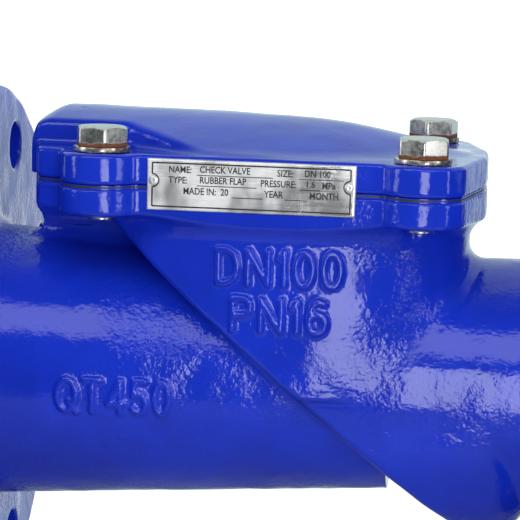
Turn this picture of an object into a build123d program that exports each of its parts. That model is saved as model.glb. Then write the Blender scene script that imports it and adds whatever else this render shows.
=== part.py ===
"""Flanged rubber-flap check valve, DN100 PN16: each piece is a separate solid in parts/NODE.step.

Millimetres. X runs along the pipe from inlet to outlet, Z is up, and the origin is on the pipe axis
halfway between the two flange faces.
"""
import math
import os

from build123d import *

# --- Pipe ends: PN16 flanges for a 100 mm pipe --------------------------------------------------
FACE_TO_FACE = 292.0
FLANGE_R = 110.0
FLANGE_T = 20.0          # with the raised face
RAISED_R = 78.0
RAISED_H = 3.0
BOLT_CIRCLE_R = 90.0
BOLT_HOLE_R = 9.5
BOLT_HOLES = 8
PORT_R = 50.0
PORT_LENGTH = 16.0
ROOT_R = 5.0             # fillet where a pipe meets its flange

# --- Inlet pipe, which tapers towards the seat ---------------------------------------------------
WALL = 6.0
INLET_R_FLANGE = 54.5
INLET_R_SEAT = 43.5
INLET_SEAT_X = 36.0
INLET_WALL = 7.0         # where the pipe leaves its flange

# --- Chamber and outlet pipe --------------------------------------------------------------------
CHAMBER_R = 50.5
CHAMBER_END_X = 50.0
OUTLET_R = 48.5
OUTLET_NECK_X = 76.0
OUTLET_R_FLANGE = 53.0
BELLY_R = 48.8
BELLY_DROP = 13.0        # how far the belly's axis lies under the pipe's
BELLY_END_X = 62.0
BELLY_SHOULDER = 18.0    # length of the belly's first rounding step, which narrows it by SHOULDER_FALL
SHOULDER_FALL = 5.0
BELLY_TIP_X = 94.0
BELLY_TIP_R = 34.0
HIDDEN_X = -60.0         # where the chamber's round shapes start, out of sight behind the seat

# --- Seat: a flat land at a slope, with a round port --------------------------------------------
SEAT_SLOPE = 40.0
BACK_X = 3.0             # where the outside of the seat wall crosses the pipe axis
SEAT_WALL = 7.0
PORT_SHIFT = -26.0       # the port's centre, measured down the slope from the pipe axis
SEAT_PORT_R = 32.5
LAND_R = 37.5
LAND_H = 1.0

# --- Neck and its oval plan ---------------------------------------------------------------------
NECK_X = -8.0
NECK_A = 72.0
NECK_B = 53.0
NECK_POWER = 2.6
RIB_END_X = -104.0
RIB_START_X = -60.0
RIB_Z = (42.0, 72.0)
RIB_T = 16.0

# --- Cover joint --------------------------------------------------------------------------------
BODY_TOP = 77.0
BODY_FLANGE_T = 10.0
GASKET_T = 1.5
GASKET_INSET = 1.0
COVER_FLANGE_T = 11.5
COVER_BOTTOM = BODY_TOP + GASKET_T
COVER_TOP = COVER_BOTTOM + COVER_FLANGE_T
BOLT_XS = {"left": -72.6, "right": 46.5}
BOLT_Y = 48.7
BOLT_SIDES = {"front": -1, "rear": 1}
EAR_R = 15.5
WAIST_Y = 56.0           # the joint flange's straight sides, between the ears
EAR_EDGE = BOLT_Y + EAR_R - 2.0
TIP_X = 70.0             # the blunt tip over the outlet
TIP_BOW = 0.5            # how far the middle of the tip stands out past its corners
TIP_SHOULDER_X = 62.0
TIP_HOLLOW_X = 56.5
TIP_FLAT_HALF = 16.0
LOBE_X = -107.0          # the lobe over the hinge
LOBE_SHOULDER_X = -99.0
LOBE_HOLLOW_X = -90.0
LOBE_BOW = 1.0
LOBE_FLAT_HALF = 12.0
HOLLOW_STEP = 4.0        # how far the lobe's edge and both shoulders step in from the ears
SHOULDER_STEP = 7.0
BOW_HALF = 1.0
JOINT_ROUND = 3.0        # the radius of the outline's corners

# --- Cover dome. RIDGE gives (x, how far the ridge is under the top), and CROWN gives
# (distance from the ridge, how far the surface is under the ridge) --------------------------------
DOME_TOP = 103.8
DOME_WALL = 6.0
RIDGE = ((LOBE_X, 0.0), (-93.0, 0.0), (-26.0, 0.8), (12.0, 2.8), (35.0, 6.7), (52.0, 11.2), (TIP_X, 17.2))
CROWN = ((0.0, 0.0), (15.0, 2.4), (27.0, 5.6), (40.0, 9.7), (50.0, 13.2), (57.0, 15.9))
DOME_FOOT = 60.0         # the height where the dome's sections start, under the cover's bottom
# Corners (x, z) of the dome's rounded left end, from its foot up.
DOME_END = ((-105.5, 93.0), (-102.2, 99.5), (-97.5, 102.8), (-93.0, DOME_TOP))
LEDGE_HALF = 27.0        # half-width of the dome's narrow end, over the hinge
LEDGE_X = -67.0
DOME_WIDE_X = -34.0
DOME_HALF = 52.0
OVAL_START_X = -38.0     # the dome's plan is the neck's oval from here on, and a little wider
DOME_OVERHANG = 1.0

# --- Cover bolts: M12 hex, small washers --------------------------------------------------------
BOLT_R = 6.0
BOLT_HEAD_AF = 18.0
BOLT_HEAD_H = 7.5
HEAD_CORNER_R = 10.1     # the head's corners are turned off to this radius
HEAD_CHAMFER = (0.6, 1.2)
SHANK_CHAMFER = 1.0
BOLT_END = 2.5           # how far a bolt's end shows under the joint flange
COVER_HOLE_R = 6.8
TAPPED_HOLE_R = 6.05
WASHER_R = 10.6
WASHER_HOLE_R = 6.5
WASHER_T = 2.0
SPOT_FACE_R = 11.6

# --- Flap: a steel plate and a fabric ply moulded in rubber ---------------------------------------
FLAP_R = 38.0
FLAP_T = 10.0
FLAP_GAP = 0.3           # between the flap's face and the seat land, before the rubber is pressed
CORE_R = 31.0
CORE_T = 4.0
PLY_T = 0.8
PLY_R = 34.0
TONGUE_HALF = 22.0
NECK_OVERRUN = 8.0       # how far the moulding's stiff neck reaches past the round flap
TONGUE_T = 6.0
TONGUE_BEND_R = 12.0
BEAD_X = -84.0
BEAD_R = 5.5
BEAD_HALF = 27.0
ROD_R = 2.5
BEAD_ROOM = 0.2
FLAP_MID = LAND_H + FLAP_GAP + FLAP_T / 2

# --- Nameplate ----------------------------------------------------------------------------------
PLATE_L = 77.0
PLATE_H = 19.0
PLATE_T = 0.8
PLATE_X = -15.5
PLATE_Z = 79.3
RIVET_Z = 80.8
PLATE_CORNER = 0.8
RIVET_SPAN = 72.0
RIVET_R = 1.0
RIVET_HEAD_R = 1.8
RIVET_HEAD_H = 1.0
RIVET_ROUND = 0.7
RIVET_DEPTH = 6.0

FAR = 400.0              # larger than the valve, for half-spaces

SLOPE = math.radians(SEAT_SLOPE)
DOWN_SLOPE = (math.cos(SLOPE), 0, -math.sin(SLOPE))
SEAT_NORMAL = (math.sin(SLOPE), 0, math.cos(SLOPE))
SEAT_X = BACK_X + SEAT_WALL / math.sin(SLOPE)
SEAT = Plane(origin=(SEAT_X, 0, 0), x_dir=DOWN_SLOPE, z_dir=SEAT_NORMAL)
PORT = Plane(origin=SEAT.from_local_coords((PORT_SHIFT, 0, 0)), x_dir=DOWN_SLOPE, z_dir=SEAT_NORMAL)

# The flap's mid-plane meets the height of the cover joint here: the tongue bends about this line.
HINGE_SLOPE = -(BODY_TOP - FLAP_MID * SEAT_NORMAL[2]) / math.sin(SLOPE)
HINGE = SEAT.from_local_coords((HINGE_SLOPE, 0, FLAP_MID))


def downstream(offset):
    """Everything on the outlet side of the seat's plane moved by offset along its normal."""
    return SEAT * Pos(0, 0, offset + FAR / 2) * Box(FAR, FAR, FAR)


def turned(points):
    """A solid of revolution about the pipe axis from (x, radius) points, closed along the axis."""
    first, last = points[0][0], points[-1][0]
    outline = Polyline((first, 0), *points, (last, 0), close=True)
    face = make_face(outline)
    return revolve(Plane.XZ * face, Axis.X)


def oval(semi_x, semi_y, centre_x=NECK_X, power=NECK_POWER, steps=24):
    """A rounded-off oval (superellipse) in plan, as one closed smooth curve."""
    points = []
    for i in range(steps):
        angle = 2 * math.pi * i / steps
        c, s = math.cos(angle), math.sin(angle)
        x = math.copysign(abs(c) ** (2 / power), c)
        y = math.copysign(abs(s) ** (2 / power), s)
        points.append((centre_x + semi_x * x, semi_y * y))
    return make_face(Spline(*points, periodic=True))


def bolt_places():
    """Each cover bolt's name and plan position."""
    for side, y_sign in BOLT_SIDES.items():
        for end, x in BOLT_XS.items():
            yield f"{side}_{end}", x, y_sign * BOLT_Y


def mirrored(points):
    """Corners of an outline that is symmetric about the x axis, from those on its y < 0 side."""
    return list(points) + [(x, -y) for x, y in reversed(points)]


def joint_outline():
    """Plan of the cover joint's two flanges: oval waist, four bolt ears, a lobe and a blunt tip."""
    left, right = BOLT_XS["left"], BOLT_XS["right"]
    outline = Pos((left + right) / 2, 0) * Rectangle(right - left, 2 * WAIST_Y)
    for name, x, y in bolt_places():
        outline += Pos(x, y) * Circle(EAR_R)
    tip = mirrored([(right, -EAR_EDGE), (TIP_HOLLOW_X, -EAR_EDGE),
                    (TIP_SHOULDER_X, SHOULDER_STEP - EAR_EDGE),
                    (TIP_X - TIP_BOW, -TIP_FLAT_HALF), (TIP_X, -BOW_HALF)])
    lobe = mirrored([(left, -BOLT_Y), (LOBE_HOLLOW_X, HOLLOW_STEP - BOLT_Y),
                     (LOBE_SHOULDER_X, SHOULDER_STEP - BOLT_Y),
                     (LOBE_X + LOBE_BOW, -LOBE_FLAT_HALF), (LOBE_X, -BOW_HALF)])
    for corners in (tip, lobe):
        outline += make_face(Polyline(*corners, close=True))
    hollows_rounded = offset(offset(outline, JOINT_ROUND), -JOINT_ROUND)
    return offset(offset(hollows_rounded, -JOINT_ROUND), JOINT_ROUND)


def flange(face_x, outward):
    """A pipe flange with its raised face, as points of a turned profile from its back to its face."""
    back = face_x - outward * FLANGE_T
    front = face_x - outward * RAISED_H
    return [(back, FLANGE_R), (front, FLANGE_R), (front, RAISED_R), (face_x, RAISED_R)]


def flange_holes(face_x, outward):
    """The bolt holes of one pipe flange. They straddle the vertical centre line."""
    plane = Plane(origin=(face_x, 0, 0), x_dir=(0, 0, 1), z_dir=(outward, 0, 0))
    half_pitch = 180 / BOLT_HOLES
    spots = PolarLocations(BOLT_CIRCLE_R, BOLT_HOLES, start_angle=half_pitch)
    return plane * spots * Cylinder(BOLT_HOLE_R, 3 * FLANGE_T)


def inlet_outside():
    face = -FACE_TO_FACE / 2
    back = face + FLANGE_T
    root = INLET_R_FLANGE
    points = flange(face, -1)[::-1]
    points += [(back, root + ROOT_R), (back + ROOT_R / 3, root + ROOT_R / 3), (back + ROOT_R, root)]
    points += [(INLET_SEAT_X, INLET_R_SEAT)]
    return turned(points)


def outlet_outside():
    face = FACE_TO_FACE / 2
    back = face - FLANGE_T
    root = OUTLET_R_FLANGE
    points = [(HIDDEN_X, CHAMBER_R), (CHAMBER_END_X, CHAMBER_R), (OUTLET_NECK_X, OUTLET_R)]
    points += [(back - ROOT_R, root), (back - ROOT_R / 3, root + ROOT_R / 3), (back, root + ROOT_R)]
    points += flange(face, 1)
    return turned(points)


def belly(inset):
    """The chamber's lower bulge, round a line below the pipe axis; inset makes its inside."""
    radius = BELLY_R - inset
    shape = turned([(HIDDEN_X, radius), (BELLY_END_X, radius),
                    (BELLY_END_X + BELLY_SHOULDER, radius - SHOULDER_FALL),
                    (BELLY_TIP_X - inset, BELLY_TIP_R - inset)])
    return Pos(0, 0, -BELLY_DROP) * shape


def inlet_room():
    """The water way from the inlet face to the back of the seat wall."""
    face = -FACE_TO_FACE / 2
    inner = INLET_R_FLANGE - INLET_WALL
    seat_r = INLET_R_SEAT - WALL
    way = turned([(face - 1, PORT_R), (face + PORT_LENGTH, PORT_R),
                  (face + 2 * PORT_LENGTH, inner), (INLET_SEAT_X, seat_r)])
    return way - downstream(-SEAT_WALL)


def outlet_room():
    face = FACE_TO_FACE / 2
    inner = OUTLET_R - WALL
    return turned([(HIDDEN_X, CHAMBER_R - WALL), (CHAMBER_END_X, CHAMBER_R - WALL),
                   (OUTLET_NECK_X, inner), (face - 2 * PORT_LENGTH, OUTLET_R_FLANGE - WALL),
                   (face - PORT_LENGTH, PORT_R), (face + 1, PORT_R)])


def chamber_room():
    """The room behind the seat: under the cover, in the belly and out through the outlet."""
    neck = extrude(oval(NECK_A - WALL, NECK_B - WALL), BODY_TOP + 1)
    return (neck + outlet_room() + belly(WALL)) & downstream(0)


def hinge_seat():
    """The groove and the flat recess that hold the flap's bead, cut half in the body, half in the cover."""
    room = 2 * BEAD_ROOM
    bore = Cylinder(BEAD_R + BEAD_ROOM, 2 * BEAD_HALF + room)
    groove = Pos(BEAD_X, 0, BODY_TOP) * Rot(90, 0, 0) * bore
    length = HINGE.X - BEAD_X + 2
    recess = Pos(BEAD_X + length / 2, 0, BODY_TOP) * Box(length, 2 * TONGUE_HALF + 2, TONGUE_T + room)
    return groove + recess


def rib():
    """The upright rib between the inlet pipe, the neck and the cover joint."""
    length, height = RIB_START_X - RIB_END_X, RIB_Z[1] - RIB_Z[0]
    return Pos(RIB_END_X + length / 2, 0, RIB_Z[0] + height / 2) * Box(length, RIB_T, height)


def valve_body():
    outside = inlet_outside() + (outlet_outside() & downstream(-SEAT_WALL))
    outside += belly(0) & downstream(-SEAT_WALL)
    outside += extrude(oval(NECK_A, NECK_B), BODY_TOP) & downstream(-SEAT_WALL)
    outside += rib()
    outside += Pos(0, 0, BODY_TOP - BODY_FLANGE_T) * extrude(joint_outline(), BODY_FLANGE_T)
    outside += PORT * Cylinder(LAND_R, 2 * LAND_H)
    body = outside - inlet_room() - (chamber_room() - PORT * Cylinder(LAND_R, 2 * LAND_H))
    body -= PORT * Cylinder(SEAT_PORT_R, 2 * SEAT_WALL + 2)
    body -= hinge_seat()
    for outward in (-1, 1):
        body -= flange_holes(outward * FACE_TO_FACE / 2, outward)
    for name, x, y in bolt_places():
        body -= Pos(x, y, BODY_TOP) * Cylinder(TAPPED_HOLE_R, 4 * BODY_FLANGE_T)
    return body


def dome_plan(inset):
    """Plan of the dome: narrow over the hinge, then widening to the oval of the neck."""
    half, wide = LEDGE_HALF - inset, DOME_HALF - inset
    funnel = mirrored([(DOME_END[0][0] + inset, -half), (LEDGE_X, -half), (DOME_WIDE_X, -wide), (0, -wide)])
    right_part = Pos(FAR / 2 + OVAL_START_X, 0) * Rectangle(FAR, FAR)
    wide_oval = oval(NECK_A - inset, NECK_B + DOME_OVERHANG - inset)
    return make_face(Polyline(*funnel, close=True)) + (wide_oval & right_part)


def dome_section(x, ridge_fall, inset):
    """The dome's cross-section at x: a crown on a straight-sided block."""
    top = DOME_TOP - inset - ridge_fall
    right = [(y, top - fall) for y, fall in CROWN]
    left = [(-y, z) for y, z in reversed(right[1:])]
    crown = Spline(*left, *right)
    block = Polyline(right[-1], (right[-1][0], DOME_FOOT), (left[0][0], DOME_FOOT), left[0])
    section = Plane(origin=(x, 0, 0), x_dir=(0, 1, 0), z_dir=(1, 0, 0))
    return section * make_face(Curve() + [crown, block])


def dome(inset):
    """The dome: its crowned top, cut to its plan and to its sloping left end."""
    shell = loft([dome_section(x, fall, inset) for x, fall in RIDGE])
    end = [(x + inset, z) for x, z in DOME_END]
    foot, top = end[0][0], end[-1][0]
    side = make_face(Polyline((foot, COVER_BOTTOM), *end, (top, FAR), (FAR, FAR), (FAR, COVER_BOTTOM),
                              close=True))
    plan = Pos(0, 0, COVER_BOTTOM) * extrude(dome_plan(inset), DOME_TOP)
    return shell & extrude(Plane.XZ * side, FAR, both=True) & plan


def bonnet():
    cover = Pos(0, 0, COVER_BOTTOM) * extrude(joint_outline(), COVER_FLANGE_T)
    cover += dome(0)
    neck_inside = extrude(oval(NECK_A - WALL, NECK_B - WALL), 2 * DOME_TOP)
    cover -= dome(DOME_WALL) & neck_inside & downstream(0)
    cover -= hinge_seat()
    for name, x, y in bolt_places():
        cover -= Pos(x, y, COVER_TOP) * Cylinder(COVER_HOLE_R, 4 * COVER_FLANGE_T)
        cover -= Pos(x, y, COVER_TOP + DOME_WALL) * Cylinder(SPOT_FACE_R, 2 * DOME_WALL)
    cover -= rivet_shanks()
    return cover


def bonnet_gasket():
    sheet = Pos(0, 0, BODY_TOP) * extrude(offset(joint_outline(), -GASKET_INSET), GASKET_T)
    opening = extrude(oval(NECK_A - WALL, NECK_B - WALL), 2 * BODY_TOP)
    sheet -= opening & downstream(0)
    sheet -= hinge_seat()
    for name, x, y in bolt_places():
        sheet -= Pos(x, y, BODY_TOP) * Cylinder(COVER_HOLE_R, 4 * GASKET_T)
    return sheet


def cover_bolt(x, y):
    under_head = COVER_TOP + WASHER_T
    end = BODY_TOP - BODY_FLANGE_T - BOLT_END
    length = under_head - end
    shank = Pos(0, 0, -length / 2) * Cylinder(BOLT_R, length)
    shank = chamfer(shank.edges().group_by(Axis.Z)[0], SHANK_CHAMFER)
    head = extrude(RegularPolygon(BOLT_HEAD_AF / 2, 6, major_radius=False), BOLT_HEAD_H)
    crown = Pos(0, 0, BOLT_HEAD_H / 2) * Cylinder(HEAD_CORNER_R, BOLT_HEAD_H)
    crown = chamfer(crown.edges().group_by(Axis.Z)[-1], *HEAD_CHAMFER)
    return Pos(x, y, under_head) * (shank + (head & crown))


def washer(x, y):
    return Pos(x, y, COVER_TOP + WASHER_T / 2) * (
        Cylinder(WASHER_R, WASHER_T) - Cylinder(WASHER_HOLE_R, WASHER_T))


def flap_disc(radius, thickness, offset_n=0.0):
    """A round piece of the flap, centred in its thickness."""
    return PORT * Pos(0, 0, FLAP_MID + offset_n) * Cylinder(radius, thickness)


def tongue_slab(thickness, half_width, end_slope):
    """A strip from the bead along the cover joint, round the bend and down to end_slope on the flap."""
    foot = SEAT.from_local_coords((end_slope, 0, FLAP_MID))
    corners = [(BEAD_X, BODY_TOP), (HINGE.X, HINGE.Z), (foot.X, foot.Z)]
    line = FilletPolyline(*corners, radius=TONGUE_BEND_R)
    start = Plane(origin=(BEAD_X, 0, BODY_TOP), x_dir=(0, 1, 0), z_dir=(1, 0, 0))
    return sweep(start * Rectangle(2 * half_width, thickness), Plane.XZ * line)


def flap_pieces():
    """The moulded flap: rubber coat, steel core and fabric ply, and the rubber tongue and bead."""
    core = flap_disc(CORE_R, CORE_T)
    ply = flap_disc(PLY_R, PLY_T, -(CORE_T + PLY_T) / 2)
    coat = flap_disc(FLAP_R, FLAP_T)
    neck_start = PORT_SHIFT - FLAP_R - NECK_OVERRUN
    neck_length = NECK_OVERRUN + FLAP_R / 2
    neck = Box(neck_length, 2 * TONGUE_HALF, TONGUE_T)
    coat += SEAT * Pos(neck_start + neck_length / 2, 0, FLAP_MID) * neck
    coat -= core + ply
    tongue = tongue_slab(TONGUE_T, TONGUE_HALF, neck_start)
    tongue -= Pos(BEAD_X, 0, BODY_TOP) * Rot(90, 0, 0) * Cylinder(BEAD_R, 4 * BEAD_HALF)
    along_y = Pos(BEAD_X, 0, BODY_TOP) * Rot(90, 0, 0)
    bead = along_y * (Cylinder(BEAD_R, 2 * BEAD_HALF) - Cylinder(ROD_R, 2 * BEAD_HALF))
    rod = along_y * Cylinder(ROD_R, 2 * BEAD_HALF)
    return {"flap_core_plate": core, "flap_fabric_ply": ply, "flap_rubber": coat,
            "hinge_tongue": tongue, "hinge_bead": bead, "hinge_bead_rod": rod}


def rivet_shanks():
    """The two rivet shanks through the nameplate into the cover's edge."""
    shanks = Part()
    for side in (-1, 1):
        place = Pos(PLATE_X + side * RIVET_SPAN / 2, -WAIST_Y + RIVET_DEPTH / 2, RIVET_Z)
        shanks += place * Rot(90, 0, 0) * Cylinder(RIVET_R, RIVET_DEPTH)
    return shanks


def nameplate():
    plate = Pos(PLATE_X, -WAIST_Y - PLATE_T / 2, PLATE_Z) * Box(PLATE_L, PLATE_T, PLATE_H)
    plate = fillet(plate.edges().filter_by(Axis.Y), PLATE_CORNER)
    for side in (-1, 1):
        hole = Rot(90, 0, 0) * Cylinder(RIVET_R, 4 * PLATE_T)
        plate -= Pos(PLATE_X + side * RIVET_SPAN / 2, -WAIST_Y, RIVET_Z) * hole
    return plate


def rivet(side):
    x = PLATE_X + side * RIVET_SPAN / 2
    length = RIVET_DEPTH + PLATE_T
    shank_y = -WAIST_Y - PLATE_T + length / 2
    shank = Pos(x, shank_y, RIVET_Z) * Rot(90, 0, 0) * Cylinder(RIVET_R, length)
    head_y = -WAIST_Y - PLATE_T - RIVET_HEAD_H / 2
    head = Pos(x, head_y, RIVET_Z) * Rot(90, 0, 0) * Cylinder(RIVET_HEAD_R, RIVET_HEAD_H)
    head = fillet(head.edges().group_by(Axis.Y)[0], RIVET_ROUND)
    return shank + head


def main():
    pieces = {"valve_body": valve_body(), "bonnet": bonnet(), "bonnet_gasket": bonnet_gasket()}
    pieces.update(flap_pieces())
    for name, x, y in bolt_places():
        pieces[f"cover_bolt_{name}"] = cover_bolt(x, y)
        pieces[f"washer_{name}"] = washer(x, y)
    pieces["nameplate"] = nameplate()
    pieces["nameplate_rivet_left"] = rivet(-1)
    pieces["nameplate_rivet_right"] = rivet(1)
    os.makedirs("parts", exist_ok=True)
    for name, shape in pieces.items():
        export_step(shape, f"parts/{name}.step")


main()
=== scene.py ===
"""Looks of the flanged rubber-flap check valve: glossy blue epoxy on rough iron castings.

The two castings are rebuilt as distance fields, so that every inside corner has its cast fillet, and
the cast marks grow out of the surface. Distances in the fields are in millimetres, as in the CAD.
"""

import math

import bpy
import numpy as np
import openvdb
from mathutils import Matrix, Vector


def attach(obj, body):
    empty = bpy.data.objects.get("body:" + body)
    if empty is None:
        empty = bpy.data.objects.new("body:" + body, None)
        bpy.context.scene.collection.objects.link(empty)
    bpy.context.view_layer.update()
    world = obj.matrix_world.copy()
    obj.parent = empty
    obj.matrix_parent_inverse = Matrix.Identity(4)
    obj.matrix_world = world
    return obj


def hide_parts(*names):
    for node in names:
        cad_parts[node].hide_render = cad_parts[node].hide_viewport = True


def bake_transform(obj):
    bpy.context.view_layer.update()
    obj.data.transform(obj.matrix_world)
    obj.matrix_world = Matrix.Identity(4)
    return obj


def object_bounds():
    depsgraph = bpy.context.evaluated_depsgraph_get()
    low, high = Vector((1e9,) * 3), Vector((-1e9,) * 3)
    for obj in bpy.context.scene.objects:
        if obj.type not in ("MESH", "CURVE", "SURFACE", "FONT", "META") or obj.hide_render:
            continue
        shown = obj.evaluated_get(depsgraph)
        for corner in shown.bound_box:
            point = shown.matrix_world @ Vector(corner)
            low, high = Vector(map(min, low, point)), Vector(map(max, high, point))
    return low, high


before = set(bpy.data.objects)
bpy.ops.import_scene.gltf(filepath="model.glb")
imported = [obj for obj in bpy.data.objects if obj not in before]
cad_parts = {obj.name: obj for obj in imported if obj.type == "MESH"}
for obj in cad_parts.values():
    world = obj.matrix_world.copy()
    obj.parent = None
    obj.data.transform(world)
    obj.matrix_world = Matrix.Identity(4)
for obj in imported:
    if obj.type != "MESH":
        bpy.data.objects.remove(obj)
bpy.context.view_layer.update()
CAD_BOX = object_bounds()
MM = 0.001

# --- Sizes shared with the CAD, in mm ---
FACE_X = 146.0
FLANGE_R, FLANGE_T = 110.0, 20.0
RAISED_R, RAISED_H = 78.0, 3.0
BOLT_CIRCLE_R, BOLT_HOLE_R, BOLT_HOLES = 90.0, 9.5, 8
PORT_R, PORT_LENGTH = 50.0, 16.0
WALL = 6.0
INLET_XS, INLET_RS = (-126.0, 36.0), (54.5, 43.5)
OUTLET_XS, OUTLET_RS = (50.0, 76.0, 126.0), (50.5, 47.9, 53.0)
BELLY_R, BELLY_DROP, BELLY_TIP_X, BELLY_ROUND = 48.8, 13.0, 94.0, 26.0
SLOPE = math.radians(40.0)
SIN_SLOPE, COS_SLOPE = math.sin(SLOPE), math.cos(SLOPE)
BACK_X, SEAT_WALL = 3.0, 7.0
SEAT_X = BACK_X + SEAT_WALL / SIN_SLOPE
PORT_SHIFT, SEAT_PORT_R, LAND_R, LAND_H = -26.0, 32.5, 37.5, 1.0
NECK_X, NECK_A, NECK_B, NECK_POWER = -8.0, 72.0, 53.0, 2.6
RIB_X, RIB_Z, RIB_T = (-104.0, -60.0), (42.0, 72.0), 16.0
BODY_TOP, BODY_FLANGE_T = 77.0, 10.0
COVER_BOTTOM, COVER_TOP = 78.5, 90.0
BOLT_XS = {"left": -72.6, "right": 46.5}
BOLT_Y = 48.7
EAR_R, WAIST_Y, TIP_X, LOBE_X = 15.5, 56.0, 70.0, -107.0
TAPPED_HOLE_R, COVER_HOLE_R, SPOT_FACE_R = 6.05, 6.8, 11.6
DOME_WALL, LEDGE_HALF, LEDGE_X, DOME_WIDE_X = 6.0, 27.0, -67.0, -34.0
BEAD_X, BEAD_R, BEAD_HALF, BEAD_ROOM = -84.0, 5.5, 27.0, 0.2
TONGUE_HALF, TONGUE_T, TONGUE_BEND_R, NECK_OVERRUN = 22.0, 6.0, 12.0, 8.0
FLAP_R, FLAP_T, FLAP_GAP = 38.0, 10.0, 0.3
FLAP_MID = LAND_H + FLAP_GAP + FLAP_T / 2
WASHER_R, WASHER_HOLE_R, WASHER_T = 10.6, 6.5, 2.0
BOLT_R, HEAD_AF, HEAD_H, BOLT_END = 6.0, 18.0, 7.5, 2.5
PLATE_L, PLATE_H, PLATE_T, PLATE_X, PLATE_Z = 77.0, 19.0, 0.8, -15.5, 79.3
RIVET_Z, RIVET_SPAN, RIVET_HEAD_R, RIVET_SHANK_R, RIVET_SHANK_L = 80.8, 72.0, 1.8, 0.9, 3.0

THREAD_PITCH, THREAD_SHOWN = 1.75, 14.0
HEAD_TURNS = {"front_left": -14.0, "front_right": -26.0, "rear_left": 9.0, "rear_right": 16.0}
PLATE_FRONT = -WAIST_Y - PLATE_T
SHEET_T, SHEET_ROLL, SHEET_CELLS = 0.25, 0.45, (154, 38)
SHEET_SINK, BUCKLE_DEPTH, DENT_DEPTH = 0.15, 0.09, 0.05
BORDER_IN, BORDER_W, NOTCH_R, INK_T = 2.0, 0.55, 2.4, 0.05
TEXT_SIZE, TEXT_STRETCH, TEXT_BOLD = 2.9, 1.2, 0.05
PLATE_WORDS = [  # left end and baseline from the plate's centre, and the words
    (-30.5, 4.6, "NAME:"), (-19.0, 4.9, "CHECK VALVE"), (9.5, 4.6, "SIZE:"), (19.5, 4.9, "DN 100"),
    (-30.5, 0.7, "TYPE:"), (-19.0, 1.0, "RUBBER FLAP"), (3.5, 0.7, "PRESSURE:"), (20.0, 1.0, "1.6"),
    (26.0, 0.7, "MPa"), (-25.0, -3.2, "MADE IN:  20"), (5.0, -3.2, "YEAR"), (21.5, -3.2, "MONTH"),
]
PLATE_BLANKS = [  # ends and height of the lines under the words
    (-20.0, 8.0, 3.9), (17.5, 34.0, 3.9), (-20.0, 2.0, 0.0), (18.0, 25.5, 0.0), (-7.0, 4.5, -3.9),
    (12.5, 21.0, -3.9),
]
BLANK_W = 0.3
BODY_STEP, COVER_STEP, FLAP_STEP = 0.8, 0.6, 0.8  # the distance fields' sample spacing
FAR = np.float32(1e9)  # further than any distance in a field
CAMERA_PLACE = (75.02, -773.62, 159.06)
CAMERA_ANGLES = (0.1199, 0.1459, -0.0281)
CAMERA_LENS, CAMERA_SENSOR = 137.8, 36.0

SEAT_ACROSS = Vector((COS_SLOPE, 0, -SIN_SLOPE))
SEAT_NORMAL = Vector((SIN_SLOPE, 0, COS_SLOPE))
PORT_CENTRE = Vector((SEAT_X, 0, 0)) + PORT_SHIFT * SEAT_ACROSS
HINGE_SLOPE = -(BODY_TOP - FLAP_MID * SEAT_NORMAL.z) / SIN_SLOPE
HINGE = Vector((SEAT_X, 0, 0)) + HINGE_SLOPE * SEAT_ACROSS + FLAP_MID * SEAT_NORMAL


# --- Distance fields ---
class Field:
    """Sample points of a box that is symmetric about y = 0; only its y >= 0 half is computed."""

    def __init__(self, low, high, step):
        self.low, self.step = Vector(low), step
        counts = [int(round((b - a) / step)) + 1 for a, b in zip((low[0], 0, low[2]), high)]
        axes = [a + step * np.arange(n, dtype=np.float32) for a, n in zip((low[0], 0, low[2]), counts)]
        self.x = axes[0][:, None, None]
        self.y = axes[1][None, :, None]
        self.z = axes[2][None, None, :]
        self.counts = counts
        self.radius = np.hypot(self.y, self.z)
        self.above_seat = (self.x - SEAT_X) * SIN_SLOPE + self.z * COS_SLOPE

    def whole(self, half):
        """The field on both sides of y = 0."""
        half = np.broadcast_to(half, self.counts)
        return np.concatenate([half[:, :0:-1], half], axis=1)

    def mesh(self, name, distances):
        """The zero surface of a whole field, as a smooth-shaded object in metres."""
        reach = 3 * self.step
        grid = openvdb.FloatGrid(reach)
        grid.copyFromArray(np.clip(distances, -reach, reach).astype(np.float32))
        points, quads = grid.convertToQuads(isovalue=0.0)
        start = np.array([self.low.x, -(self.counts[1] - 1) * self.step, self.low.z])
        return quad_object(name, (points * self.step + start) * MM, quads[:, ::-1])


def new_object(name, data):
    """A new object of the scene."""
    obj = bpy.data.objects.new(name, data)
    bpy.context.scene.collection.objects.link(obj)
    return obj


def quad_object(name, points, quads):
    """A smooth-shaded object from arrays of points in metres and of quads."""
    mesh = bpy.data.meshes.new(name)
    mesh.vertices.add(len(points))
    mesh.vertices.foreach_set("co", np.asarray(points, np.float32).ravel())
    mesh.loops.add(4 * len(quads))
    mesh.loops.foreach_set("vertex_index", np.ascontiguousarray(quads, np.int32).ravel())
    mesh.polygons.add(len(quads))
    mesh.polygons.foreach_set("loop_start", np.arange(0, 4 * len(quads), 4, dtype=np.int32))
    mesh.polygons.foreach_set("use_smooth", np.ones(len(quads), bool))
    mesh.update(calc_edges=True)
    mesh.validate()
    return new_object(name, mesh)


def join(a, b, r):
    """Both shapes, with a fillet of radius r where they meet."""
    return np.maximum(r, np.minimum(a, b)) - np.hypot(np.maximum(r - a, 0), np.maximum(r - b, 0))


def meet(a, b, r):
    """What is in both shapes, with its new edge rounded to radius r."""
    return np.minimum(-r, np.maximum(a, b)) + np.hypot(np.maximum(r + a, 0), np.maximum(r + b, 0))


def cut(a, b, r):
    """The first shape without the second, with its new edge rounded to radius r."""
    return meet(a, -b, r)


def soften(a, b, reach):
    """Both shapes, run gently into each other where they are nearly flush."""
    share = np.clip(0.5 + 0.5 * (b - a) / reach, 0, 1)
    return b + (a - b) * share - reach * share * (1 - share)


def between(values, low, high):
    """Distance to the slab from low to high."""
    return np.abs(values - (low + high) / 2) - (high - low) / 2


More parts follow.
